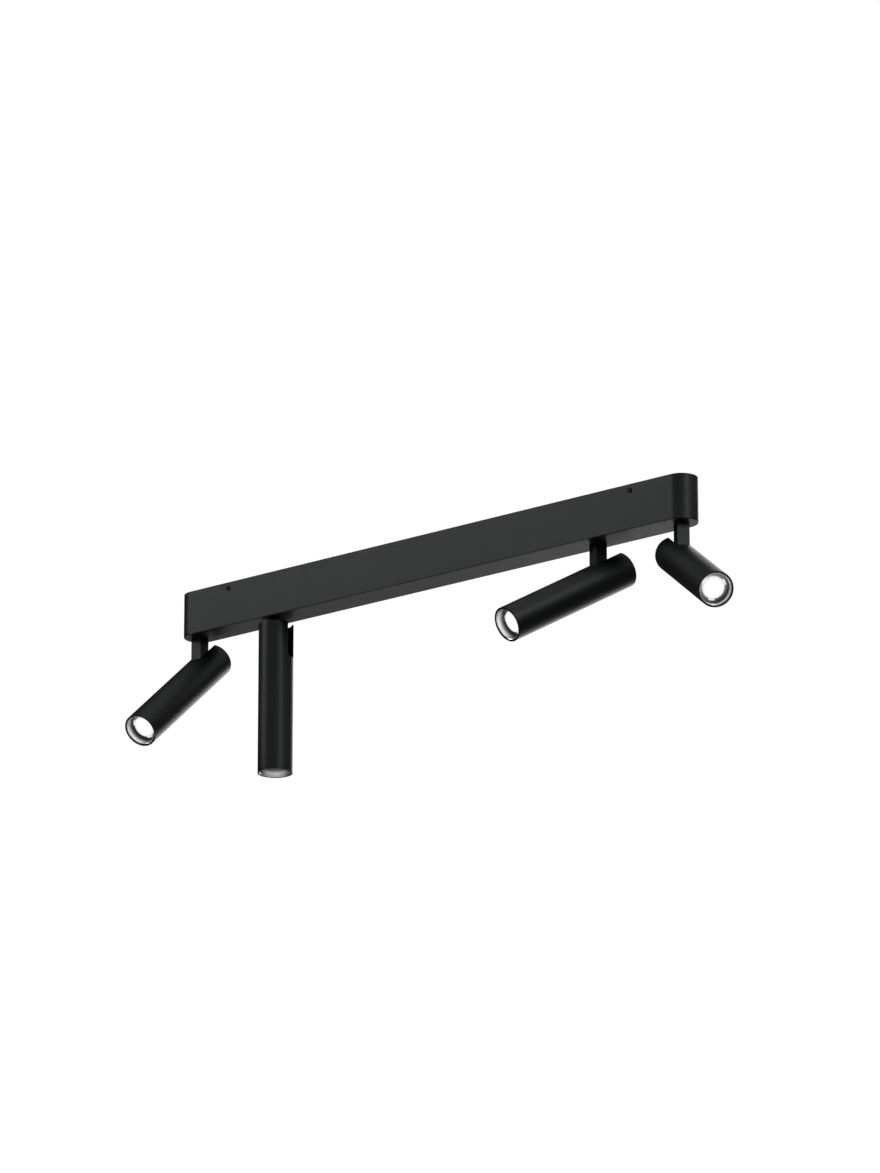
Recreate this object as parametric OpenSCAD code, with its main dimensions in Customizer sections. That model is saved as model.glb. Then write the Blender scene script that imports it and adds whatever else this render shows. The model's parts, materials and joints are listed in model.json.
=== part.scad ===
// Four-spot ceiling bar: a long box canopy with round ends and four tubular lamp heads.
// Each head hangs on a square arm that swivels on the canopy, and tilts on a bolt inside its tube.
// +X runs along the bar, +Z is up, and the origin is the middle of the bar on the ceiling plane.

/* [Canopy] */
// Length of the canopy over its round ends
canopy_len = 700; // [600:5:900]
// Width of the canopy, and the diameter of its round ends
canopy_w = 36; // [34:0.5:44]
// Height of the canopy below the ceiling
canopy_h = 50; // [44:1:64]
// Sheet thickness of the canopy
canopy_wall = 1.5; // [1.2:0.1:2]
// Radius of the edge between the side and the underside
canopy_edge_r = 0.8; // [0.5:0.1:1.4]

/* [Ceiling plate] */
// Thickness of the steel plate that is screwed to the ceiling
plate_t = 1.5; // [1.2:0.1:2.5]
// Length of the ceiling plate
plate_len = 600; // [570:5:620]
// Distance between the two ceiling screw slots
ceiling_screw_spacing = 400; // [390:5:440]
// Width of a ceiling screw slot
ceiling_slot_w = 5; // [4:0.5:6]
// Length of a ceiling screw slot, end to end
ceiling_slot_len = 14; // [10:1:20]
// Distance from the middle of the bar to the cable entry
cable_entry_x = 95; // [85:1:120]
// Bore of the cable grommet
cable_bore_d = 8; // [6:0.5:10]
// Distance from the middle of the bar to the side screws
side_screw_x = 277; // [250:1:280]
// Distance from the ceiling down to the side screws
side_screw_drop = 6.5; // [6:0.1:8]

/* [Supply] */
// Length of the driver case
driver_len = 120; // [90:5:124]
// Width of the driver case
driver_w = 26; // [20:1:28]
// Height of the driver case
driver_h = 19; // [15:1:22]
// Number of terminals in the connector block
terminal_count = 3; // [2:1:3]
// Diameter of an insulated lead
lead_d = 2.4; // [1.6:0.1:3]

/* [Arms] */
// Distance between the two arms of a pair
pair_pitch = 110; // [90:1:140]
// Side of the square arm
arm_w = 13.5; // [11:0.5:14]
// Diameter of the round stem below the square arm
stem_d = 10; // [9:0.5:10.5]
// Distance from the tilt axis up to the shoulder where the square arm begins
shoulder_h = 16.8; // [16.8:0.1:20]
// Distance from the underside of the canopy down to the tilt axis
pivot_drop = 43; // [43:0.5:50]
// Outside diameter of the threaded nipple
nipple_d = 10; // [9:0.5:10]
// Bore of the nipple and of the arm, for the leads
wire_bore_d = 6; // [5:0.5:6.5]
// Diameter of the tilt bolt
bolt_d = 4; // [3:0.5:4.5]

/* [Lamp heads] */
// Outside diameter of the lamp tube
tube_d = 38.5; // [38:0.5:44]
// Length of the lamp tube
tube_len = 170; // [150:1:220]
// Wall of the lamp tube
tube_wall = 2; // [1.5:0.1:2.2]
// Distance from the tilt axis to the open rear end of the tube
rear_reach = 37.5; // [30:0.5:37.5]
// Gap between the square arm and each side of the slot that it passes through
slot_gap = 0.55; // [0.3:0.05:1]
// Length of the slot from the rear end of the tube
slot_len = 39; // [39:0.5:44]
// Corner radius at the inner end of the slot
slot_corner_r = 4; // [2:0.5:4]
// Diameter of the lens
lens_d = 24; // [20:0.2:25]
// Distance from the front rim back to the lens
lens_recess = 8.5; // [4:0.5:10]
// Number of fins on each heat sink
fin_count = 16; // [10:1:20]

/* [Pose] */
// Direction each head points, from +X towards +Y, left to right along the bar
head_pan = [270.5, 15, 250, 323.5]; // [0:0.5:360]
// Angle each head leans out from straight down
head_tilt = [49, 0, 60, 60.5]; // [0:0.5:65]

/* [Hidden] */
$fn = 96;

// clearances
fit_gap = 0.05;      // all round a pin, shaft or seated part
side_gap = 0.3;      // between faces that slide or only stand beside each other
screw_gap = 0.2;     // all round a screw in its clearance hole
eps = 0.01;          // how far a cutting shape passes the face it cuts

// canopy
end_r = canopy_w / 2;
inner_w = canopy_w - 2 * canopy_wall;
underside_z = -canopy_h;
floor_z = underside_z + canopy_wall;

// arms stand at the middle of each round end and one pitch in from there
arm_outer_x = canopy_len / 2 - end_r;
arm_inner_x = arm_outer_x - pair_pitch;
arm_x = [-arm_outer_x, -arm_inner_x, arm_inner_x, arm_outer_x];
pivot_z = underside_z - pivot_drop;

// swivel joint: bush in the canopy floor, nipple through it, nut on top
bush_wall = 2;
bush_r = nipple_d / 2 + bush_wall;
bush_flange_r = bush_r + 2.5;
bush_flange_t = 2;
nut_h = 5;
nut_flange_t = 1;
nut_across = nipple_d + 5;
nut_z = floor_z + bush_flange_t + side_gap;
nipple_tail = 4;
nipple_top_z = nut_z + nut_h + nipple_tail;
nipple_grip = 9;     // how far the nipple is screwed into the arm

// lengths along a lamp tube, measured from the tilt axis towards the lens
tube_r = tube_d / 2;
bore_r = tube_r - tube_wall;
front_s = tube_len - rear_reach;
lens_s = front_s - lens_recess;
lens_rim_t = 2;
lens_depth = 22;
lens_cone = 19;
board_t = 1.6;
board_s = lens_s - lens_rim_t - lens_depth;
sink_front_s = board_s - board_t;
sink_seat_t = 5;
sink_rear_s = 9;
sink_disc_t = 5;
sink_core_r = 7;
fin_t = 1.2;
fin_setback = 0.2;
board_r = 10;
board_screw_y = 7.6;
board_screw_d = 2.2;
led_disc_r = 4.5;
led_disc_t = 0.8;

// slot in the rear end of the tube
slot_w = arm_w + 2 * slot_gap;
slot_end_s = slot_len - rear_reach;
slot_corner_y = slot_w / 2 - slot_corner_r;

// tilt joint: the stem's eye between two ears of the heat sink
washer_t = 1;
ear_t = 4;
ear_r = 7;
washer_y = stem_d / 2 + side_gap;
ear_y = washer_y + washer_t;
bolt_head_t = 2.5;
bolt_head_r = bolt_d / 2 + 1.6;
bolt_nut_t = 3;
bolt_nut_across = bolt_d + 3.6;
bolt_tail = 0.5;
bolt_socket_d = 2.6;
bolt_socket_depth = 1.5;

// lens mount
lens_back_r = 6;
lens_lead_in = 0.2;
holder_t = 3;
holder_wall = 1.5;
lug_reach = lens_d / 2 + 2;
lug_w = 6.5;
ring_wall = 1.3;
ring_mouth_wall = 0.8;
ring_land = 0.2;
ring_bore_r = bore_r - ring_wall;
ring_mouth_r = bore_r - ring_mouth_wall;
ring_setback = 0.4;
ring_end_gap = 0.2;
ring_len = lens_recess - ring_setback + lens_rim_t - ring_end_gap;

// ceiling plate and what hangs from it
plate_w = inner_w - 2 * side_gap;
tab_w = 16;
tab_h = 10;
side_screw_d = 3;
side_screw_head_r = 2.7;
side_screw_head_t = 1.2;
side_screw_tail = 2.5;
side_socket_d = 2.4;
side_socket_depth = 0.9;
driver_x = [52, 52 + driver_len];
driver_ear = 9;
driver_flange_t = 3;
driver_screw_d = 3;
driver_screw_head_t = 2;
driver_screw_head_d = 2 * driver_screw_d - 0.4;
driver_screw_x = [driver_x[0] + driver_ear / 2, driver_x[1] - driver_ear / 2];
driver_face_x = [driver_x[0] + driver_ear, driver_x[1] - driver_ear];
socket_depth = 5;
socket_gap = 0.2;
input_y = [-5, 5];
input_z = -plate_t - 8;
output_y = [-7.5, -2.5, 2.5, 7.5];
output_z = -plate_t - 11;

// lanes of the leads on the canopy floor, beside the swivel bushes and through the saddles
lead_y = 5;
lead_z = floor_z + lead_d / 2 + 1;
pass_y = bush_flange_r + lead_d / 2 + 1.2;
clip_x = [-arm_inner_x + 48, -60, 60, 130];
clip_len = 6;
clip_roof = 2.4;
terminal_pitch = 10;
terminal_w = 17;
terminal_h = 13;
terminal_x = -cable_entry_x + 28;
terminal_bore_d = 4.2;
terminal_screw_d = 4;
terminal_screw_len = 3;
terminal_screw_sunk = 0.6;
terminal_slot_w = 0.7;
terminal_slot_depth = 0.8;
earth_x = -cable_entry_x - 22;
earth_len = 14;
earth_washer_r = 4;
earth_washer_t = 0.8;
earth_nut_across = 7;
earth_nut_t = 2.6;
grommet_lip_r = cable_bore_d / 2 + 3.5;
grommet_seat_r = cable_bore_d / 2 + 1.8;
grommet_lip_t = 1.2;

// a flat outline with two round ends, length x width
module stadium(length, width) {
    square([length - width, width], center = true);
    for (side = [-1, 1])
        translate([side * (length - width) / 2, 0]) circle(d = width);
}

// a slot with round ends, standing along Z from z0 up by height
module slot(length, width, height) {
    linear_extrude(height) stadium(length, width);
}

// rounded section of the canopy: half its width, from the underside up
module half_section(half_w, r, height) {
    difference() {
        union() {
            translate([0, r]) square([half_w, height - r]);
            square([half_w - r, height]);
            translate([half_w - r, r]) circle(r);
        }
        translate([-half_w, -eps]) square([half_w, height + 2 * eps]);
    }
}

// a stadium-shaped block whose lower edge is rounded
module rounded_bar(length, width, height, r) {
    straight = length - width;
    rotate([90, 0, 90])
        translate([0, 0, -straight / 2])
        linear_extrude(straight)
        for (side = [0, 1]) mirror([side, 0]) half_section(width / 2, r, height);
    for (side = [-1, 1])
        translate([side * straight / 2, 0, 0])
        rotate_extrude() half_section(width / 2, r, height);
}

// a tube of small flat sides swept along points, for a lead that never runs along side_axis
function unit(v) = v / norm(v);
function tangent(p, i) = unit(p[min(i + 1, len(p) - 1)] - p[max(i - 1, 0)]);
function ring(p, i, r, sides, side_axis) =
    let (t = tangent(p, i), n = unit(cross(t, side_axis)), b = cross(t, n))
    [for (k = [0 : sides - 1]) p[i] + r * (cos(360 * k / sides) * n + sin(360 * k / sides) * b)];
module lead(p, d, side_axis, sides = 8) {
    last = len(p) - 1;
    polyhedron(
        points = [for (i = [0 : last]) each ring(p, i, d / 2, sides, side_axis)],
        faces = [
            [for (k = [0 : sides - 1]) k],
            for (i = [0 : last - 1]) for (k = [0 : sides - 1])
                let (a = i * sides + k, b = i * sides + (k + 1) % sides)
                each [[a, a + sides, b + sides], [a, b + sides, b]],
            [for (k = [sides - 1 : -1 : 0]) last * sides + k]
        ]
    );
}

// points of a lead: straight runs between the route's points, with a bend of radius r at each
function bend(a, b, c, r, steps = 4) =
    let (
        d = min(r, norm(a - b) / 2.1, norm(c - b) / 2.1),
        p = b + d * unit(a - b),
        q = b + d * unit(c - b)
    )
    [for (k = [0 : steps]) let (t = k / steps) (1 - t) * (1 - t) * p + 2 * t * (1 - t) * b + t * t * q];
function route(p, r = 6) = [
    p[0],
    for (i = [1 : len(p) - 2]) each bend(p[i - 1], p[i], p[i + 1], r),
    p[len(p) - 1]
];

// places a child in the frame of arm i: origin on the tilt axis, +X where the head points
module on_arm(i) {
    translate([arm_x[i], 0, pivot_z]) rotate([0, 0, head_pan[i]]) children();
}

// places a child in the frame of head i: origin on the tilt axis, the lens towards -Z
module on_head(i) {
    on_arm(i) rotate([0, -head_tilt[i], 0]) children();
}

// ---- canopy and ceiling plate ----

module canopy_shell() {
    color("#363837")
    difference() {
        translate([0, 0, underside_z])
            rounded_bar(canopy_len, canopy_w, canopy_h, canopy_edge_r);
        translate([0, 0, floor_z])
            linear_extrude(canopy_h) stadium(canopy_len - 2 * canopy_wall, inner_w);
        for (x = arm_x)
            translate([x, 0, underside_z - eps]) cylinder(h = canopy_wall + 2 * eps, r = bush_r + fit_gap);
        for (x = [-side_screw_x, side_screw_x])
            translate([x, 0, -side_screw_drop])
            rotate([90, 0, 0])
            cylinder(h = canopy_w + 2 * eps, d = side_screw_d + 2 * screw_gap, center = true);
    }
}

module ceiling_plate() {
    color("#b9bcbf")
    difference() {
        union() {
            translate([-plate_len / 2, -plate_w / 2, -plate_t]) cube([plate_len, plate_w, plate_t]);
            for (x = [-side_screw_x, side_screw_x]) for (side = [-1, 1])
                translate([x - tab_w / 2, side * (plate_w - plate_t) / 2 - plate_t / 2, -plate_t - tab_h])
                cube([tab_w, plate_t, tab_h + plate_t]);
        }
        for (x = [-1, 1] * ceiling_screw_spacing / 2)
            translate([x, 0, -plate_t - eps]) slot(ceiling_slot_len, ceiling_slot_w, plate_t + 2 * eps);
        translate([-cable_entry_x, 0, -plate_t - eps])
            cylinder(h = plate_t + 2 * eps, r = grommet_seat_r + fit_gap);
        translate([earth_x, 0, -plate_t - eps])
            cylinder(h = plate_t + 2 * eps, d = driver_screw_d + 2 * fit_gap);
        for (x = driver_screw_x)
            translate([x, 0, -plate_t - eps])
            cylinder(h = plate_t + 2 * eps, d = driver_screw_d + 2 * fit_gap);
        for (x = [-side_screw_x, side_screw_x])
            translate([x, 0, -side_screw_drop])
            rotate([90, 0, 0])
            cylinder(h = canopy_w, d = side_screw_d + 2 * fit_gap, center = true);
    }
}

// the four identical socket screws that hold the canopy to the tabs of the plate
module shell_screws() {
    shank = canopy_wall + side_gap + plate_t + side_screw_tail;
    color("#151515")
    for (x = [-side_screw_x, side_screw_x]) for (side = [-1, 1])
        translate([x, side * canopy_w / 2, -side_screw_drop])
        rotate([side * 90, 0, 0])
        difference() {
            union() {
                cylinder(h = shank, d = side_screw_d);
                translate([0, 0, -side_screw_head_t]) cylinder(h = side_screw_head_t, r = side_screw_head_r);
            }
            translate([0, 0, -side_screw_head_t - eps])
                cylinder(h = side_socket_depth, d = side_socket_d, $fn = 6);
        }
}

module cable_grommet() {
    color("#1d1d1d")
    translate([-cable_entry_x, 0, 0])
    difference() {
        union() {
            translate([0, 0, -plate_t]) cylinder(h = plate_t, r = grommet_seat_r);
            translate([0, 0, -plate_t - grommet_lip_t]) cylinder(h = grommet_lip_t, r = grommet_lip_r);
        }
        translate([0, 0, -plate_t - grommet_lip_t - eps])
            cylinder(h = plate_t + grommet_lip_t + 2 * eps, d = cable_bore_d);
    }
}

// earth screw with its washer and nut under the plate
module earth_stud() {
    color("#c9a94f")
    translate([earth_x, 0, 0]) {
        translate([0, 0, -earth_len]) cylinder(h = earth_len, d = driver_screw_d);
        difference() {
            union() {
                translate([0, 0, -plate_t - earth_washer_t])
                    cylinder(h = earth_washer_t, r = earth_washer_r);
                translate([0, 0, -plate_t - earth_washer_t - earth_nut_t])
                    cylinder(h = earth_nut_t, d = earth_nut_across, $fn = 6);
            }
            translate([0, 0, -earth_len + eps]) cylinder(h = earth_len, d = driver_screw_d - 2 * fit_gap);
        }
    }
}

// ---- supply parts under the plate ----

module led_driver() {
    color("#e4e4e0")
    difference() {
        union() {
            translate([driver_x[0] + driver_ear, -driver_w / 2, -plate_t - driver_h])
                cube([driver_len - 2 * driver_ear, driver_w, driver_h]);
            translate([driver_x[0], -driver_w / 2, -plate_t - driver_flange_t])
                cube([driver_len, driver_w, driver_flange_t]);
        }
        for (x = driver_screw_x)
            translate([x, 0, -plate_t - driver_flange_t - eps])
            cylinder(h = driver_flange_t + 2 * eps, d = driver_screw_d + 2 * screw_gap);
        for (y = input_y)
            translate([driver_face_x[0] - eps, y, input_z])
            rotate([0, 90, 0]) cylinder(h = socket_depth + eps, r = lead_d / 2 + socket_gap);
        for (y = output_y)
            translate([driver_face_x[1] + eps, y, output_z])
            rotate([0, -90, 0]) cylinder(h = socket_depth + eps, r = lead_d / 2 + socket_gap);
    }
}

module driver_screws() {
    color("#9a9da0")
    for (x = driver_screw_x)
        translate([x, 0, -plate_t - driver_flange_t]) {
            translate([0, 0, -driver_screw_head_t])
                cylinder(h = driver_screw_head_t, d = driver_screw_head_d);
            cylinder(h = driver_flange_t + plate_t, d = driver_screw_d);
        }
}

module terminal_block() {
    length = terminal_count * terminal_pitch;
    color("#f2f2ee")
    difference() {
        translate([terminal_x, -terminal_w / 2, -plate_t - terminal_h])
            cube([length, terminal_w, terminal_h]);
        for (k = [0 : terminal_count - 1]) {
            x = terminal_x + (k + 0.5) * terminal_pitch;
            translate([x, 0, -plate_t - terminal_h / 2])
                rotate([90, 0, 0]) cylinder(h = terminal_w + 2 * eps, d = terminal_bore_d, center = true);
            for (side = [-1, 1])
                translate([x, side * terminal_w / 4, -plate_t - terminal_h - eps])
                cylinder(
                    h = (terminal_h - terminal_bore_d) / 2 - 2 * screw_gap,
                    d = terminal_screw_d + 2 * screw_gap
                );
        }
    }
}

module terminal_screws() {
    color("#a8a9ab")
    for (k = [0 : terminal_count - 1]) for (side = [-1, 1])
        translate([
            terminal_x + (k + 0.5) * terminal_pitch,
            side * terminal_w / 4,
            -plate_t - terminal_h + terminal_screw_sunk
        ])
        difference() {
            cylinder(h = terminal_screw_len, d = terminal_screw_d);
            translate([-terminal_screw_d, -terminal_slot_w / 2, -eps])
                cube([2 * terminal_screw_d, terminal_slot_w, terminal_slot_depth]);
        }
}

// saddles that hold the leads of the far pair to the canopy floor
module wire_clips() {
    half = lead_y + lead_d;
    color("#dcdcd8")
    for (x = clip_x)
        translate([x, 0, floor_z])
        difference() {
            translate([-clip_len / 2, -half, 0]) cube([clip_len, 2 * half, lead_d + clip_roof]);
            for (side = [-1, 1])
                translate([0, side * lead_y, lead_z - floor_z])
                rotate([0, 90, 0])
                cylinder(h = clip_len + 2 * eps, r = lead_d / 2 + socket_gap, center = true);
        }
}

// two leads from the connector block to the input side of the driver
module mains_leads() {
    z = -plate_t - terminal_h / 2;
    side_y = -terminal_w / 2 - 4.1;
    out_x = driver_face_x[0];
    drop = 8;
    turn_x = [out_x - 34, out_x - 14];
    color("#6b4a2f")
    for (k = [0, 1]) {
        x = terminal_x + (k == 0 ? 0.5 : terminal_count - 0.5) * terminal_pitch;
        run_z = k == 0 ? z - drop : z;
        lead(route([
            [x, 2 - terminal_w / 2, z], [x, side_y, z], [x + drop, side_y, run_z],
            [turn_x[0], side_y, run_z], [turn_x[1], input_y[k], input_z],
            [out_x + socket_depth - 1, input_y[k], input_z]
        ], 3), lead_d, [0, 0, 1]);
    }
}

// a lead to each nipple from the output side of the driver: the near pair's go straight across,
// and the far pair's turn down and run back along the canopy floor
module lamp_leads() {
    out_x = driver_face_x[1];
    over_z = nipple_top_z + 8;
    color("#a02c24")
    for (k = [0 : 3]) {
        end = k < 2 ? -1 : 1;
        outer = k == 0 || k == 3;
        y = output_y[k];
        x = arm_x[k];
        floor_y = outer ? lead_y : -lead_y;
        drop_x = out_x + (outer ? 11 : 7);
        back = end > 0 ? [[out_x + 9, y, output_z]] : [
            [drop_x, y, output_z], [drop_x, floor_y, lead_z], [-arm_inner_x + 38, floor_y, lead_z]
        ];
        past = outer ? [for (s = [-26, 20]) [end * (arm_inner_x + s), pass_y, lead_z]] : [];
        lead(route([
            [out_x - socket_depth + 1, y, output_z], each back, each past,
            [x - end * 18, outer ? 3 : sign(floor_y) * 1, over_z], [x, 0, over_z],
            [x, 0, nipple_top_z - 3]
        ]), lead_d, [0, 1, 0]);
    }
}

// the four identical plastic bushes that the nipples turn in
module swivel_bushes() {
    color("#2a2a2a")
    for (x = arm_x)
        translate([x, 0, underside_z])
        difference() {
            union() {
                cylinder(h = canopy_wall, r = bush_r);
                translate([0, 0, canopy_wall]) cylinder(h = bush_flange_t, r = bush_flange_r);
            }
            translate([0, 0, -eps])
                cylinder(h = canopy_wall + bush_flange_t + 2 * eps, r = nipple_d / 2 + fit_gap);
        }
}

// ---- swivelling arm ----

module arm(i) {
    top = pivot_drop - side_gap;
    wire_exit_h = shoulder_h / 2 + 2;
    wire_exit_d = wire_bore_d - 1.5;
    wire_exit_lean = 120;
    color("#2b2c2c")
    on_arm(i)
    difference() {
        union() {
            translate([-arm_w / 2, -arm_w / 2, shoulder_h]) cube([arm_w, arm_w, top - shoulder_h]);
            cylinder(h = shoulder_h + 1, d = stem_d);
            rotate([90, 0, 0]) cylinder(h = stem_d, d = stem_d, center = true);
        }
        translate([0, 0, top - nipple_grip]) cylinder(h = nipple_grip + eps, r = nipple_d / 2 + fit_gap);
        translate([0, 0, shoulder_h / 2]) cylinder(h = top, d = wire_bore_d);
        translate([0, 0, wire_exit_h]) rotate([0, -wire_exit_lean, 0]) cylinder(h = stem_d, d = wire_exit_d);
        rotate([90, 0, 0]) cylinder(h = stem_d + 2 * eps, r = bolt_d / 2 + fit_gap, center = true);
    }
}

module nipple(i) {
    bottom = underside_z - side_gap - nipple_grip;
    color("#b8b9bb")
    translate([arm_x[i], 0, bottom])
    difference() {
        cylinder(h = nipple_top_z - bottom, d = nipple_d);
        translate([0, 0, -eps]) cylinder(h = nipple_top_z - bottom + 2 * eps, d = wire_bore_d);
    }
}

module swivel_nut(i) {
    color("#8f9294")
    translate([arm_x[i], 0, nut_z])
    rotate([0, 0, head_pan[i]])
    difference() {
        union() {
            cylinder(h = nut_flange_t, d = nut_across + 1);
            translate([0, 0, nut_flange_t])
                cylinder(h = nut_h - nut_flange_t, d = nut_across / cos(30), $fn = 6);
        }
        translate([0, 0, -eps]) cylinder(h = nut_h + 2 * eps, r = nipple_d / 2 + fit_gap);
    }
}

// ---- lamp head, drawn pointing straight down from the tilt axis ----

module tube(i) {
    color("#2b2d2c")
    on_head(i)
    difference() {
        translate([0, 0, -front_s]) cylinder(h = tube_len, r = tube_r);
        translate([0, 0, -front_s - eps]) cylinder(h = tube_len + 2 * eps, r = bore_r);
        translate([0, -slot_w / 2, slot_corner_r - slot_end_s]) cube([tube_d, slot_w, slot_len]);
        translate([0, -slot_corner_y, -slot_end_s]) cube([tube_d, 2 * slot_corner_y, slot_len]);
        for (side = [-1, 1])
            translate([0, side * slot_corner_y, slot_corner_r - slot_end_s])
            rotate([0, 90, 0]) cylinder(h = tube_d, r = slot_corner_r);
    }
}

module heat_sink(i) {
    fin_s = [sink_rear_s + sink_disc_t, sink_front_s - sink_seat_t];
    r = bore_r - fit_gap;
    color("#a4a8ac")
    on_head(i)
    difference() {
        union() {
            translate([0, 0, -sink_rear_s - sink_disc_t]) cylinder(h = sink_disc_t, r = r);
            translate([0, 0, -sink_front_s]) cylinder(h = sink_seat_t, r = r);
            translate([0, 0, -fin_s[1]])
                linear_extrude(fin_s[1] - fin_s[0])
                for (k = [0 : fin_count - 1]) rotate(k * 360 / fin_count)
                    translate([0, -fin_t / 2]) square([r - fin_setback, fin_t]);
            translate([0, 0, -fin_s[1]]) cylinder(h = fin_s[1] - fin_s[0], r = sink_core_r);
            for (side = [-1, 1]) {
                translate([0, side * (ear_y + ear_t / 2), 0])
                    rotate([90, 0, 0]) cylinder(h = ear_t, r = ear_r, center = true);
                translate([-ear_r, side * (ear_y + ear_t / 2) - ear_t / 2, -sink_rear_s - 1])
                    cube([2 * ear_r, ear_t, sink_rear_s + 1]);
            }
        }
        translate([0, 0, -sink_front_s - eps])
            cylinder(h = sink_front_s - sink_rear_s + 2 * eps, d = wire_bore_d - 1);
        rotate([90, 0, 0]) cylinder(h = 2 * bore_r, r = bolt_d / 2 + fit_gap, center = true);
    }
}

module tilt_bolt(i) {
    outer_y = ear_y + ear_t;
    color("#6f7275")
    on_head(i) {
        rotate([90, 0, 0])
        difference() {
            union() {
                translate([0, 0, -outer_y - bolt_nut_t - bolt_tail])
                    cylinder(h = 2 * outer_y + bolt_nut_t + bolt_tail, d = bolt_d);
                translate([0, 0, outer_y]) cylinder(h = bolt_head_t, r = bolt_head_r);
            }
            translate([0, 0, outer_y + bolt_head_t - bolt_socket_depth])
                cylinder(h = bolt_head_t, d = bolt_socket_d, $fn = 6);
        }
        translate([0, outer_y, 0]) rotate([-90, 0, 0])
        difference() {
            cylinder(h = bolt_nut_t, d = bolt_nut_across, $fn = 6);
            translate([0, 0, -eps]) cylinder(h = bolt_nut_t + 2 * eps, d = bolt_d - 2 * fit_gap);
        }
    }
}

module tilt_washers(i) {
    color("#d8d4c4")
    on_head(i)
    for (side = [-1, 1])
        translate([0, side * (washer_y + washer_t / 2), 0])
        rotate([90, 0, 0])
        difference() {
            cylinder(h = washer_t, r = ear_r - 1, center = true);
            cylinder(h = washer_t + 2 * eps, r = bolt_d / 2 + fit_gap, center = true);
        }
}

module led_board(i) {
    color("#e9e7da")
    on_head(i)
    translate([0, 0, -board_s]) {
        difference() {
            cylinder(h = board_t, r = board_r);
            for (side = [-1, 1])
                translate([0, side * board_screw_y, -eps]) cylinder(h = board_t + 2 * eps, d = board_screw_d);
        }
        translate([0, 0, -led_disc_t]) cylinder(h = led_disc_t, r = led_disc_r);
    }
}

module lens_holder(i) {
    back_s = lens_s - lens_rim_t;
    cup_r = lens_d / 2 + side_gap;
    color("#8d9093")
    on_head(i)
    difference() {
        union() {
            translate([0, 0, -back_s]) cylinder(h = holder_t, r = bore_r - fit_gap);
            translate([0, 0, -back_s]) cylinder(h = back_s - board_s, r = cup_r + holder_wall);
        }
        translate([0, 0, -back_s - eps]) cylinder(h = back_s - board_s + 2 * eps, r = cup_r);
    }
}

// a solid optic: a cone behind a round front, located by three lugs
module lens(i) {
    color("#f4f4f0")
    on_head(i) {
        translate([0, 0, -lens_s]) {
            cylinder(h = lens_rim_t, d = lens_d);
            for (k = [0 : 2]) rotate([0, 0, 60 + 120 * k])
                translate([0, -lug_w / 2, lens_rim_t / 2])
                cube([lug_reach, lug_w, lens_rim_t / 2]);
        }
        translate([0, 0, lens_rim_t - lens_s])
            cylinder(h = lens_cone, r1 = lens_d / 2 - lens_lead_in, r2 = lens_back_r);
    }
}

// bright ring in the mouth of the tube: its bore widens forwards, and its front edge is bevelled
module trim_ring(i) {
    outer = bore_r - fit_gap;
    bevel = outer - ring_mouth_r - ring_land;
    color("#c4c6c8")
    on_head(i)
    translate([0, 0, ring_setback - front_s])
    rotate_extrude()
    polygon([
        [outer, 0], [outer, ring_len], [ring_bore_r, ring_len],
        [ring_mouth_r, bevel], [outer - ring_land, 0]
    ]);
}

canopy_shell();
ceiling_plate();
shell_screws();
cable_grommet();
earth_stud();
led_driver();
driver_screws();
terminal_block();
terminal_screws();
wire_clips();
mains_leads();
lamp_leads();
swivel_bushes();
for (i = [0 : 3]) {
    arm(i);
    nipple(i);
    swivel_nut(i);
    tube(i);
    heat_sink(i);
    tilt_bolt(i);
    tilt_washers(i);
    led_board(i);
    lens_holder(i);
    lens(i);
    trim_ring(i);
}
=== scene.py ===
import json
import math

import bmesh
import bpy
from mathutils import Matrix, Vector


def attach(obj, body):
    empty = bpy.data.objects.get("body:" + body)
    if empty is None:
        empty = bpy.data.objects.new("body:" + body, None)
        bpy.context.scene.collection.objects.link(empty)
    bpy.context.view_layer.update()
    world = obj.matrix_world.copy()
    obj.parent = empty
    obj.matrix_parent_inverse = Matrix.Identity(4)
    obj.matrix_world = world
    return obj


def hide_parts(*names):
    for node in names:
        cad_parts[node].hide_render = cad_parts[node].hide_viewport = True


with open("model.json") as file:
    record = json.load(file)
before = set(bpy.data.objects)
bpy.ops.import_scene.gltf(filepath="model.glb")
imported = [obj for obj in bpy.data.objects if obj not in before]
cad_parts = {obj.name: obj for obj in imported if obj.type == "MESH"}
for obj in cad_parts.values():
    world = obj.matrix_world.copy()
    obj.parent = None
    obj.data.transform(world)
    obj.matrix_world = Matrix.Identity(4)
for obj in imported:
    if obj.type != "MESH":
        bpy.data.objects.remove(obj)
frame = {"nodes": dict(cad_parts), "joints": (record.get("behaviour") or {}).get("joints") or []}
nodes = frame["nodes"]
joints = {joint["name"]: joint for joint in frame["joints"]}
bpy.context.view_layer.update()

# ---- Viewpoint ----
# A long lens stands well below the bar, in front of it and to the right. It shows the underside and
# the mouths of the heads, and keeps the long edges nearly parallel.
viewpoint = bpy.data.objects.new("viewpoint", bpy.data.cameras.new("viewpoint"))
viewpoint.location = (4.27005, -5.39948, -2.23819)
viewpoint.rotation_euler = (math.radians(90 + 17.598), 0, math.radians(38.286))
viewpoint.data.sensor_width = 36
viewpoint.data.lens = 204.8
viewpoint.data.clip_end = 60
bpy.context.scene.collection.objects.link(viewpoint)
bpy.context.scene.camera = viewpoint

# ---- Canopy ----
# The long box with round ends is folded and welded steel sheet, and its seams are ground away.
# A fine-textured black powder coat is baked on, which leaves every sharp edge slightly round.
MM = 0.001
WELD_GAP = 0.002 * MM
FLAT_ANGLE = math.radians(0.5)
EASED_ANGLE = math.radians(35)
CREASE_ANGLE = math.radians(50)
CANOPY_EASE = 0.25 * MM


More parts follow.
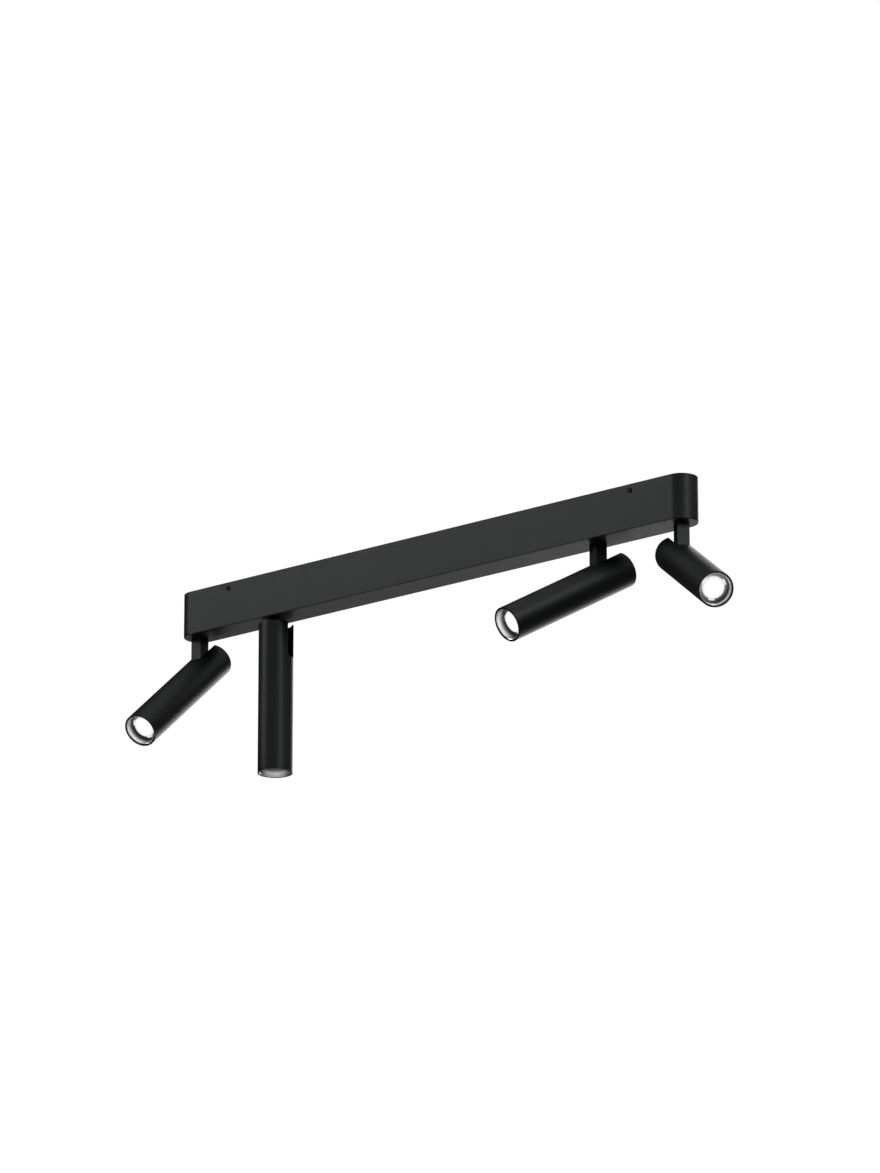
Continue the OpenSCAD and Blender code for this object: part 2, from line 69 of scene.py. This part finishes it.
class Wire:
    """A socket in a shader's node tree. Sums on it add Math nodes, and node() adds any other."""

    def __init__(self, tree, socket=None):
        self.tree = tree
        self.socket = socket

    def node(self, kind, settings=(), inputs=(), output=0):
        made = self.tree.nodes.new(kind)
        for name, value in dict(settings).items():
            if name == "stops":
                while len(made.color_ramp.elements) < len(value):
                    made.color_ramp.elements.new(1)
                for element, (place, grey) in zip(made.color_ramp.elements, value):
                    element.position = place
                    element.color = (grey, grey, grey, 1)
            else:
                setattr(made, name, value)
        for name, value in dict(inputs).items():
            if isinstance(value, Wire):
                self.tree.links.new(value.socket, made.inputs[name])
            else:
                made.inputs[name].default_value = value
        return Wire(self.tree, made.outputs[output])

    def sum(self, operation, a, b):
        return self.node("ShaderNodeMath", {"operation": operation}, {0: a, 1: b})

    def __add__(self, other):
        return self.sum("ADD", self, other)

    def __rsub__(self, other):
        return self.sum("SUBTRACT", other, self)

    def __mul__(self, other):
        return self.sum("MULTIPLY", self, other)

    __radd__ = __add__
    __rmul__ = __mul__

    def place(self, home=False):
        """Where a point is, in metres: as assembled, or in its own part's drawing."""
        if home:
            return self.node("ShaderNodeAttribute", {"attribute_name": "drawn_at"}, output="Vector")
        return self.node("ShaderNodeTexCoord", output="Object")

    def noise(self, size, detail=2, where=None):
        """Soft random marks about this many metres across."""
        return self.node("ShaderNodeTexNoise", (), {
            "Vector": where or self.place(), "Scale": 1 / size, "Detail": detail,
        })

    def between(self, low, high):
        """Two colours mixed by this number."""
        colours = {"Factor": self, 6: (*low, 1), 7: (*high, 1)}
        return self.node("ShaderNodeMix", {"data_type": "RGBA"}, colours, output=2)

    def bump(self, height, strength=1.0):
        """This height pattern, in metres at full scale, as a surface direction."""
        return self.node("ShaderNodeBump", (), {
            "Height": self, "Distance": height, "Strength": strength,
        })


def finish(name, paint, **fixed):
    """A material: fixed numbers sit on the shader, and paint gives what changes over the surface."""
    material = bpy.data.materials.new(name)
    material.use_nodes = True
    tree = material.node_tree
    shader = tree.nodes["Principled BSDF"]
    for socket, value in fixed.items():
        shader.inputs[socket.replace("_", " ")].default_value = value
    for socket, wire in paint(Wire(tree)).items():
        tree.links.new(wire.socket, shader.inputs[socket.replace("_", " ")])
    return material


def powder_paint(wire):
    cloud = wire.noise(60 * MM)
    peel = wire.noise(0.9 * MM, 1)
    grit = wire.noise(0.22 * MM, 2)
    return {
        "Base_Color": cloud.between((0.0030, 0.0033, 0.0032), (0.0042, 0.0045, 0.0044)),
        "Roughness": 0.37 + 0.05 * cloud + 0.07 * grit,
        "Normal": (0.7 * peel + 0.3 * grit).bump(0.035 * MM, 0.6),
    }


powder_coat = finish("black_powder_coat", powder_paint, Specular_Tint=(0.94, 1.0, 0.975, 1))


def coated(node, material):
    """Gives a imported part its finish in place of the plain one."""
    nodes[node].data.materials.clear()
    nodes[node].data.materials.append(material)


def eased(name, node, body, radius, material):
    """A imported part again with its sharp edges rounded, as coating or moulding leaves them."""
    shape = bmesh.new()
    shape.from_mesh(nodes[node].data)
    bmesh.ops.remove_doubles(shape, verts=shape.verts, dist=WELD_GAP)
    bmesh.ops.dissolve_limit(shape, angle_limit=FLAT_ANGLE, verts=shape.verts, edges=shape.edges)
    corners = [
        edge for edge in shape.edges
        if len(edge.link_faces) == 2 and edge.calc_face_angle() > EASED_ANGLE
    ]
    bmesh.ops.bevel(
        shape, geom=corners, offset=radius, segments=2, profile=0.5, affect="EDGES",
        clamp_overlap=True,
    )
    piece(name, shape, body, material, node)


def piece(name, shape, body, material, replaced, where=None):
    """A worked shape as a smooth-shaded object on its body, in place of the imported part.

    A shape drawn in its own frame is moved by where, and its material still reads the drawn points.
    """
    mesh = bpy.data.meshes.new(name)
    shape.to_mesh(mesh)
    shape.free()
    mesh.materials.clear()
    mesh.materials.append(material)
    if where:
        drawn = mesh.attributes.new("drawn_at", "FLOAT_VECTOR", "POINT")
        drawn.data.foreach_set("vector", [value for vertex in mesh.vertices for value in vertex.co])
        mesh.transform(where)
    mesh.shade_smooth()
    mesh.set_sharp_from_angle(angle=CREASE_ANGLE)
    made = bpy.data.objects.new(name, mesh)
    bpy.context.scene.collection.objects.link(made)
    weighted = made.modifiers.new("even_shading", "WEIGHTED_NORMAL")
    weighted.keep_sharp = True
    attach(made, body)
    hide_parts(replaced)


eased("canopy", "canopy_shell", "root", CANOPY_EASE, powder_coat)

# ---- Side screws ----
# Four socket screws go through the canopy's long sides into the tabs of the ceiling plate.
# They are black-oxidised steel, and the oiled heads are a little glossier than the coat.
SIDE_SCREW_EASE = 0.15 * MM


def oxide_paint(wire):
    rub = wire.noise(2 * MM, 3)
    return {
        "Base_Color": rub.between((0.006, 0.006, 0.007), (0.016, 0.015, 0.015)),
        "Roughness": 0.30 + 0.16 * rub,
        "Normal": wire.noise(0.25 * MM).bump(0.01 * MM, 0.5),
    }


black_oxide = finish("black_screw", oxide_paint, Metallic=0.6)
eased("side_screws", "shell_screws", "root", SIDE_SCREW_EASE, black_oxide)

# ---- Ceiling plate, cable grommet and earth stud ----
# The plate is zinc-plated sheet with two slots for the ceiling screws and four bent tabs.
# A rubber grommet lines the cable entry, and a brass stud beside it takes the earth lead.


def zinc_paint(wire):
    spangle = wire.node("ShaderNodeTexVoronoi", (), {
        "Vector": wire.place(), "Scale": 1 / (5 * MM),
    }, "Distance")
    stretched = wire.node("ShaderNodeMapping", (), {"Vector": wire.place(), "Scale": (0.03, 1, 1)})
    rolled = wire.noise(0.5 * MM, 3, stretched)
    return {
        "Base_Color": spangle.between((0.46, 0.48, 0.50), (0.62, 0.63, 0.64)),
        "Roughness": 0.26 + 0.12 * spangle + 0.14 * rolled,
        "Normal": rolled.bump(0.01 * MM, 0.5),
    }


def rubber_paint(wire):
    bloom = wire.noise(1.5 * MM, 4)
    return {
        "Base_Color": bloom.between((0.010, 0.010, 0.010), (0.022, 0.022, 0.021)),
        "Roughness": 0.62 + 0.2 * bloom,
        "Normal": bloom.bump(0.04 * MM, 0.5),
    }


def brass_paint(wire):
    tarnish = wire.noise(3 * MM, 4)
    return {
        "Base_Color": tarnish.between((0.66, 0.46, 0.17), (0.48, 0.31, 0.11)),
        "Roughness": 0.22 + 0.25 * tarnish,
        "Normal": wire.noise(0.3 * MM).bump(0.01 * MM, 0.5),
    }


zinc = finish("zinc_steel", zinc_paint, Metallic=1.0)
coated("ceiling_plate", zinc)
coated("cable_grommet", finish("black_rubber", rubber_paint))
coated("earth_stud", finish("brass", brass_paint, Metallic=1.0))

# ---- Driver and connector block ----
# The driver is a white moulded case held under the plate by two screws. The three-way connector
# block and the lead clips are of the same white plastic. All their screws are zinc-plated.
DRIVER_EASE = 0.4 * MM
CONNECTOR_EASE = 0.3 * MM


def moulded_paint(wire):
    spark = wire.noise(0.35 * MM, 2)
    tone = wire.noise(25 * MM)
    return {
        "Base_Color": tone.between((0.72, 0.72, 0.69), (0.80, 0.80, 0.78)),
        "Roughness": 0.42 + 0.12 * spark,
        "Normal": spark.bump(0.03 * MM, 0.6),
    }


white_case = finish("white_plastic", moulded_paint, Subsurface_Weight=0.05)
eased("driver_case", "led_driver", "root", DRIVER_EASE, white_case)
eased("connector_block", "terminal_block", "root", CONNECTOR_EASE, white_case)
coated("wire_clips", white_case)
coated("driver_screws", zinc)
coated("terminal_screws", zinc)

# ---- Leads ----
# Silicone-covered single leads run from the connector block to the driver, and from the driver to
# each swivel. They lie on the canopy floor under small saddles.


def insulation(name, low, high):
    def paint(wire):
        skin = wire.noise(4 * MM, 3)
        return {
            "Base_Color": skin.between(low, high),
            "Roughness": 0.45 + 0.15 * skin,
            "Normal": wire.noise(0.4 * MM).bump(0.02 * MM, 0.5),
        }

    return finish(name, paint)


coated("mains_leads", insulation("brown_insulation", (0.10, 0.045, 0.02), (0.15, 0.07, 0.035)))
coated("lamp_leads", insulation("red_insulation", (0.30, 0.02, 0.015), (0.42, 0.04, 0.03)))

# ---- Swivel bushes, nipples and lock nuts ----
# A flanged nylon bush lines each hole in the canopy floor. The hollow threaded nipple turns in it,
# and a flanged lock nut on the nipple carries the arm's weight.


def nylon_paint(wire):
    skin = wire.noise(0.5 * MM, 2)
    return {
        "Base_Color": skin.between((0.012, 0.012, 0.012), (0.020, 0.020, 0.020)),
        "Roughness": 0.48 + 0.15 * skin,
        "Normal": skin.bump(0.03 * MM, 0.5),
    }


black_plastic = finish("black_plastic", nylon_paint)
coated("swivel_bushes", black_plastic)
for number in range(1, 5):
    coated(f"nipple_{number}", zinc)
    coated(f"swivel_nut_{number}", zinc)

# ---- Arms ----
# A square steel post is screwed onto the nipple. Below a shoulder it is turned down to a round stem
# with an eye for the tilt bolt, and it is powder coated like the canopy.
ARM_EASE = 0.4 * MM
for number in range(1, 5):
    eased(f"post_{number}", f"arm_{number}", f"arm_{number}", ARM_EASE, powder_coat)

# ---- Lamp tubes ----
# Each tube is cut from extruded aluminium, milled with a slot for the arm at its rear end, and
# powder coated inside and out.
TUBE_EASE = 0.3 * MM
for number in range(1, 5):
    eased(f"barrel_{number}", f"tube_{number}", f"head_{number}", TUBE_EASE, powder_coat)

# ---- Heat sinks ----
# Finned aluminium castings sit inside the tubes. They carry the LED board in front and the two ears
# of the tilt joint behind, and only the ears and the rear disc show, through the slot.


def cast_paint(wire):
    skin = wire.noise(0.8 * MM, 4)
    return {
        "Base_Color": skin.between((0.40, 0.41, 0.42), (0.56, 0.57, 0.58)),
        "Roughness": 0.42 + 0.2 * skin,
        "Normal": skin.bump(0.04 * MM, 0.7),
    }


cast_aluminium = finish("raw_aluminium", cast_paint, Metallic=1.0)
for number in range(1, 5):
    coated(f"heat_sink_{number}", cast_aluminium)

# ---- Tilt bolts and washers ----
# A socket bolt with a thin nut clamps the arm's eye between fibre washers, and their friction holds
# the head where it is set.


def dark_steel_paint(wire):
    rub = wire.noise(1.5 * MM, 3)
    return {
        "Base_Color": rub.between((0.09, 0.09, 0.10), (0.20, 0.20, 0.21)),
        "Roughness": 0.30 + 0.2 * rub,
        "Normal": wire.noise(0.2 * MM).bump(0.01 * MM, 0.5),
    }


def fibre_paint(wire):
    fleck = wire.noise(0.6 * MM, 5)
    return {
        "Base_Color": fleck.between((0.34, 0.26, 0.17), (0.48, 0.38, 0.27)),
        "Roughness": 0.75 + 0.15 * fleck,
        "Normal": fleck.bump(0.03 * MM, 0.6),
    }


dark_steel = finish("dark_steel", dark_steel_paint, Metallic=1.0)
fibre = finish("fibre_washer", fibre_paint)
for number in range(1, 5):
    coated(f"tilt_bolt_{number}", dark_steel)
    coated(f"tilt_washers_{number}", fibre)

# ---- LED boards ----
# A round white board with one light-emitting disc is screwed to the front of the heat sink. The lens
# covers it, so little of it is ever seen.


def board_paint(wire):
    tone = wire.noise(1.2 * MM, 3)
    return {
        "Base_Color": tone.between((0.70, 0.69, 0.62), (0.80, 0.79, 0.74)),
        "Roughness": 0.35 + 0.15 * tone,
        "Normal": tone.bump(0.01 * MM, 0.4),
    }


led_white = finish("led_board", board_paint)
for number in range(1, 5):
    coated(f"led_board_{number}", led_white)

# ---- Lenses ----
# A moulded acrylic collimator with a face of small hexagonal pillows spreads the beam. It fills with
# light from the board behind it, and three lugs locate it in the tube.
LENS_R = 12 * MM
LENS_FACE = 124 * MM
LENS_DEPTH = 22 * MM
LENS_BACK_R = 6 * MM
LENS_EASE = 0.2 * MM
LENS_STEPS = 132
FACE_RINGS = 44
FACE_MARGIN = 0.5 * MM
RIM_T = 2 * MM
LUG_TOP = 1 * MM
LUG_REACH = 14 * MM
LUG_W = 6.5 * MM
LUG_ROOT = 1 * MM
LUG_CUT = 0.5 * MM
LUG_EASE = 0.12 * MM
PILLOW = 1.9 * MM
PILLOW_H = 0.30 * MM
PILLOW_SPREAD = 0.6


def head_place(number):
    """The head's own frame: origin on the tilt axis, the lens towards -Z.

    A tilt's lower limit hangs straight down, so it gives how far the head leans at rest.
    """
    tilt = joints[f"tilt_{number}"]
    across = Vector(tilt["axis"])
    pan = math.atan2(across.x, -across.y)
    lean = math.radians(-tilt["range_deg"][0])
    turn = Matrix.Rotation(pan, 4, "Z") @ Matrix.Rotation(-lean, 4, "Y")
    return Matrix.Translation(tilt["pos_m"]) @ turn


def spin(shape, outline, steps=96, closed=True):
    """Turns an outline of (radius, height) points round the Z axis."""
    turns = [math.tau * k / steps for k in range(steps)]
    rings = []
    for radius, height in outline:
        if radius == 0:
            rings.append([shape.verts.new((0, 0, height))])
        else:
            rings.append([
                shape.verts.new((radius * math.cos(turn), radius * math.sin(turn), height))
                for turn in turns
            ])
    following = rings[1:] + rings[:1] if closed else rings[1:]
    for near, far in zip(rings, following):
        for k in range(steps):
            corners = [near[k % len(near)], near[(k + 1) % len(near)]]
            corners += [far[(k + 1) % len(far)], far[k % len(far)]]
            shape.faces.new(list(dict.fromkeys(corners)))
    return rings


def pillow_height(x, y):
    """How proud the face stands at a point, on a lattice of hexagonal pillows."""
    best = 1.0
    row_gap = PILLOW * math.sqrt(3) / 2
    row = round(y / row_gap)
    for r in (row - 1, row, row + 1):
        shift = 0.5 * PILLOW * (r % 2)
        column = round((x - shift) / PILLOW)
        for c in (column - 1, column, column + 1):
            gap = math.hypot(x - shift - c * PILLOW, y - r * row_gap) / PILLOW
            best = min(best, gap)
    return PILLOW_H * (1 - (best / PILLOW_SPREAD) ** 2)


def off_axis(wire):
    """How far a point is from the middle line of its tube."""
    flat = wire.node("ShaderNodeVectorMath", {"operation": "MULTIPLY"}, {
        0: wire.place(home=True), 1: (1, 1, 0),
    })
    return wire.node("ShaderNodeVectorMath", {"operation": "LENGTH"}, {0: flat}, "Value")


def lens_paint(wire):
    stops = [(0.0, 1.0), (0.75, 0.92), (1.0, 0.62)]
    falloff = {"Fac": off_axis(wire) * (1 / LENS_R)}
    return {
        "Emission_Color": wire.node("ShaderNodeValToRGB", {"stops": stops}, falloff),
        "Roughness": 0.12 + 0.1 * wire.noise(3 * MM),
        "Base_Color": wire.noise(2 * MM).between((0.80, 0.80, 0.78), (0.86, 0.86, 0.85)),
    }


lens_acrylic = finish("lens", lens_paint, Emission_Strength=0.88, Coat_Weight=0.3)


def lug(shape, turn, face):
    """A flat tab on the lens's edge, with its outer corners cut back and its rims eased."""
    half = LUG_W / 2
    outline = [(LENS_R - LUG_ROOT, -half), (LUG_REACH - LUG_CUT, -half), (LUG_REACH, LUG_CUT - half)]
    outline += [(x, -y) for x, y in reversed(outline)]
    levels = [(face + LUG_TOP, LUG_EASE), (face + LUG_TOP + LUG_EASE, 0)]
    levels += [(face + RIM_T - LUG_EASE, 0), (face + RIM_T, LUG_EASE)]
    rings = []
    for height, inset in levels:
        ring = []
        for x, y in outline:
            x = x - inset if x > LENS_R else x
            y = y - math.copysign(inset, y)
            across = x * math.cos(turn) - y * math.sin(turn)
            along = x * math.sin(turn) + y * math.cos(turn)
            ring.append(shape.verts.new((across, along, height)))
        rings.append(ring)
    shape.faces.new(rings[0])
    shape.faces.new(rings[-1])
    for near, far in zip(rings, rings[1:]):
        for k in range(len(near)):
            nxt = (k + 1) % len(near)
            shape.faces.new((near[k], near[nxt], far[nxt], far[k]))


def lens_shape():
    shape = bmesh.new()
    face = -LENS_FACE
    back = face + LENS_DEPTH
    rim = face + RIM_T
    outline = [(0, back), (LENS_BACK_R, back), (LENS_R - LENS_EASE, rim), (LENS_R - 0.1 * MM, rim)]
    outline += [(LENS_R, rim - 0.15 * MM), (LENS_R, face + LENS_EASE), (LENS_R - LENS_EASE, face)]
    edge_points = len(outline)
    outline += [((LENS_R - FACE_MARGIN) * (1 - k / FACE_RINGS), face) for k in range(FACE_RINGS)]
    outline.append((0, face))
    made = spin(shape, outline, LENS_STEPS, closed=False)
    for ring in made[edge_points:]:
        for vertex in ring:
            vertex.co.z -= pillow_height(vertex.co.x, vertex.co.y)
    for k in range(3):
        lug(shape, math.radians(60 + 120 * k), face)
    bmesh.ops.recalc_face_normals(shape, faces=shape.faces)
    return shape


for number in range(1, 5):
    piece(
        f"optic_{number}", lens_shape(), f"head_{number}", lens_acrylic, f"lens_{number}",
        head_place(number),
    )

# ---- Lens holders ----
# A turned aluminium cup stands in the tube and holds the lens. Its blasted front face shows as a grey
# ring round the lens, and a small chamfer leads the lens in.
CUP_R = 12.3 * MM
CUP_WALL = 1.5 * MM
CUP_FLANGE_R = 17.2 * MM
CUP_FLANGE_T = 3 * MM
CUP_FRONT = 122 * MM
CUP_BACK = 100 * MM
CUP_LEAD_IN = 0.3 * MM
CUP_EASE = 0.1 * MM


def blasted_paint(wire):
    mark = wire.noise(0.25 * MM, 3)
    cloud = wire.noise(6 * MM)
    return {
        "Base_Color": cloud.between((0.42, 0.42, 0.42), (0.53, 0.53, 0.52)),
        "Roughness": 0.36 + 0.14 * mark,
        "Normal": mark.bump(0.015 * MM, 0.6),
    }


def cup_shape():
    shape = bmesh.new()
    outer = CUP_R + CUP_WALL
    shoulder = CUP_FLANGE_T - CUP_FRONT
    spin(shape, [
        (CUP_R, -CUP_BACK), (CUP_R, CUP_LEAD_IN - CUP_FRONT), (CUP_R + CUP_LEAD_IN, -CUP_FRONT),
        (CUP_FLANGE_R - CUP_EASE, -CUP_FRONT), (CUP_FLANGE_R, CUP_EASE - CUP_FRONT),
        (CUP_FLANGE_R, shoulder), (outer, shoulder), (outer, -CUP_BACK),
    ])
    bmesh.ops.recalc_face_normals(shape, faces=shape.faces)
    return shape


blasted_aluminium = finish("blasted_aluminium", blasted_paint, Metallic=1.0)
for number in range(1, 5):
    piece(
        f"cup_{number}", cup_shape(), f"head_{number}", blasted_aluminium,
        f"lens_holder_{number}",
        head_place(number),
    )

# ---- Trim rings ----
# A turned aluminium ring is pressed into the mouth of each tube. Its bore keeps the fine rings of the
# cutting tool. Painted shade darkens its colour deeper in, and it is brightest and a little glossier
# at the bevel and mouth.
RING_FRONT = 132.1 * MM
RING_LEN = 9.9 * MM
RING_R = 17.2 * MM
RING_BORE_R = 15.95 * MM
RING_MOUTH_R = 16.45 * MM
RING_LAND = 0.2 * MM
RING_EASE = 0.08 * MM
# Depths from the front where the painted shade in the bore has cleared, and where it is darkest.
PAINTED_SHADE_CLEAR_AT = 2 * MM
PAINTED_SHADE_DEEPEST_AT = 8 * MM
RING_BEVEL = RING_R - RING_MOUTH_R - RING_LAND


def turned_paint(wire):
    along = wire.node("ShaderNodeSeparateXYZ", (), {0: wire.place(home=True)}, "Z")
    tool = wire.node("ShaderNodeTexNoise", {"noise_dimensions": "1D"}, {
        "W": along + off_axis(wire), "Scale": 1 / (0.25 * MM), "Detail": 3,
    })
    # Painted shade: 0 deep in the bore, where the colour is painted darkest, rising to 1 at the
    # mouth.
    clear_of_painted_shade = wire.node("ShaderNodeMapRange", {"interpolation_type": "SMOOTHSTEP"}, {
        "Value": along, "From Min": PAINTED_SHADE_DEEPEST_AT - RING_FRONT, "From Max": PAINTED_SHADE_CLEAR_AT - RING_FRONT,
    })
    return {
        "Base_Color": (0.9 * clear_of_painted_shade + 0.1 * tool).between((0.10, 0.10, 0.10), (0.93, 0.93, 0.92)),
        "Roughness": 0.30 - 0.04 * clear_of_painted_shade + 0.10 * tool,
        "Normal": tool.bump(0.006 * MM, 0.5),
    }


def ring_shape():
    shape = bmesh.new()
    back = RING_LEN - RING_FRONT
    spin(shape, [
        (RING_R, RING_EASE - RING_FRONT), (RING_R, back - RING_EASE), (RING_R - RING_EASE, back),
        (RING_BORE_R + RING_EASE, back), (RING_BORE_R, back - RING_EASE),
        (RING_MOUTH_R, RING_BEVEL + RING_EASE - RING_FRONT),
        (RING_MOUTH_R + RING_EASE, RING_BEVEL - RING_FRONT),
        (RING_R - RING_LAND, RING_EASE - RING_FRONT),
        (RING_R - RING_LAND + RING_EASE, -RING_FRONT),
        (RING_R - RING_EASE, -RING_FRONT),
    ])
    bmesh.ops.recalc_face_normals(shape, faces=shape.faces)
    return shape


turned_aluminium = finish("bright_aluminium", turned_paint, Metallic=1.0)
for number in range(1, 5):
    piece(
        f"trim_{number}", ring_shape(), f"head_{number}", turned_aluminium,
        f"trim_ring_{number}",
        head_place(number),
    )

# ---- Room ----
# A pale, evenly bright floor lies far below, and throws no light on the bar. Four large soft lights
# stand at the left, right, rear and front, and two more light the underside. White surroundings
# glow most strongly from above and to the right.
FLOOR_DEPTH = 8
FLOOR_HALF = 20
GLOW_TOWARD = (0.470, 0.171, 0.866)


def floor_paint(wire):
    tone = wire.noise(0.4, 3)
    return {
        "Base_Color": tone.between((0.80, 0.80, 0.79), (0.84, 0.84, 0.83)),
        "Roughness": 0.6 + 0.1 * tone,
    }


floor_shape = bmesh.new()
bmesh.ops.create_grid(floor_shape, x_segments=2, y_segments=2, size=FLOOR_HALF)
floor_mesh = bpy.data.meshes.new("floor")
floor_shape.to_mesh(floor_mesh)
floor_shape.free()
floor_mesh.materials.append(
    finish("pale_floor", floor_paint, Emission_Color=(1, 1, 0.99, 1), Emission_Strength=0.78)
)
floor = bpy.data.objects.new("floor", floor_mesh)
floor.location.z = -FLOOR_DEPTH
floor.visible_glossy = False
floor.visible_diffuse = False
bpy.context.scene.collection.objects.link(floor)


def softbox(name, azimuth, elevation, distance, width, height, watts):
    """A large soft light that faces the middle of the bar."""
    light = bpy.data.lights.new(name, "AREA")
    light.shape = "RECTANGLE"
    light.size = width
    light.size_y = height
    light.energy = watts
    lamp = bpy.data.objects.new(name, light)
    a, e = math.radians(azimuth), math.radians(elevation)
    out = Vector((math.cos(a) * math.cos(e), math.sin(a) * math.cos(e), math.sin(e)))
    lamp.location = out * distance
    lamp.rotation_euler = out.to_track_quat("Z", "Y").to_euler()
    lamp.visible_camera = False
    bpy.context.scene.collection.objects.link(lamp)


softbox("left_light", azimuth=221, elevation=36, distance=12.0, width=2.8, height=6.5, watts=440)
softbox("right_light", azimuth=346, elevation=28, distance=12.0, width=5.4, height=5.6, watts=260)
softbox("rear_light", azimuth=109, elevation=12, distance=8.0, width=4.8, height=8.6, watts=290)
softbox("front_fill", azimuth=290, elevation=14, distance=12.0, width=12.0, height=8.0, watts=80)
softbox("low_fill", azimuth=105, elevation=-26, distance=12.0, width=16.0, height=6.0, watts=110)
softbox("floor_glow", azimuth=300, elevation=-75, distance=6.0, width=14.0, height=14.0, watts=260)

world = bpy.data.worlds.new("studio")
world.use_nodes = True
bpy.context.scene.world = world
sky = Wire(world.node_tree)
seen = sky.node("ShaderNodeLightPath", output="Is Camera Ray")
toward = sky.node("ShaderNodeVectorMath", {"operation": "DOT_PRODUCT"}, {
    0: sky.node("ShaderNodeTexCoord", output="Generated"), 1: GLOW_TOWARD,
}, "Value")
dome = sky.node("ShaderNodeMapRange", {"interpolation_type": "SMOOTHSTEP"}, {
    "Value": toward, "From Min": 0.46, "From Max": 0.95, "To Min": 0.03, "To Max": 0.45,
})
background = world.node_tree.nodes["Background"]
background.inputs["Color"].default_value = (1, 1, 1, 1)
world.node_tree.links.new((dome + seen).socket, background.inputs["Strength"])
bpy.context.scene.view_settings.view_transform = "Standard"
